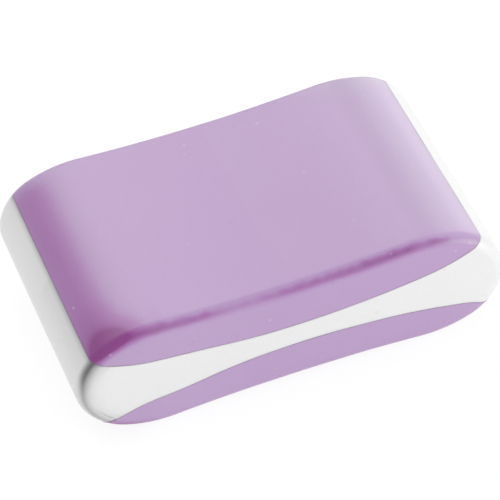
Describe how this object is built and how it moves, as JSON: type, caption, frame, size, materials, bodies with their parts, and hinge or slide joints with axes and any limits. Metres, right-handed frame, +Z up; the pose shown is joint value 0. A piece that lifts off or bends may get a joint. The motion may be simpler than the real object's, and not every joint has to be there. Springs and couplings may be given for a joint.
{
  "type": "rubber eraser",
  "caption": "Block eraser with rolled ends, slightly hollowed faces and a white core between coloured rubber layers, for rubbing out pencil on paper.",
  "frame": {"origin": "middle of the underside, on the plane that the eraser rests on", "axes": "+X along the length, +Y across the width, +Z up through the three layers"},
  "size_m": [0.06, 0.04, 0.0164],
  "materials": {
    "coloured_rubber": "satin",
    "white_rubber": "satin"
  },
  "bodies": {
    "root": {"upper_layer": "coloured_rubber", "core_layer": "white_rubber", "lower_layer": "coloured_rubber"}
  },
  "joints": []
}
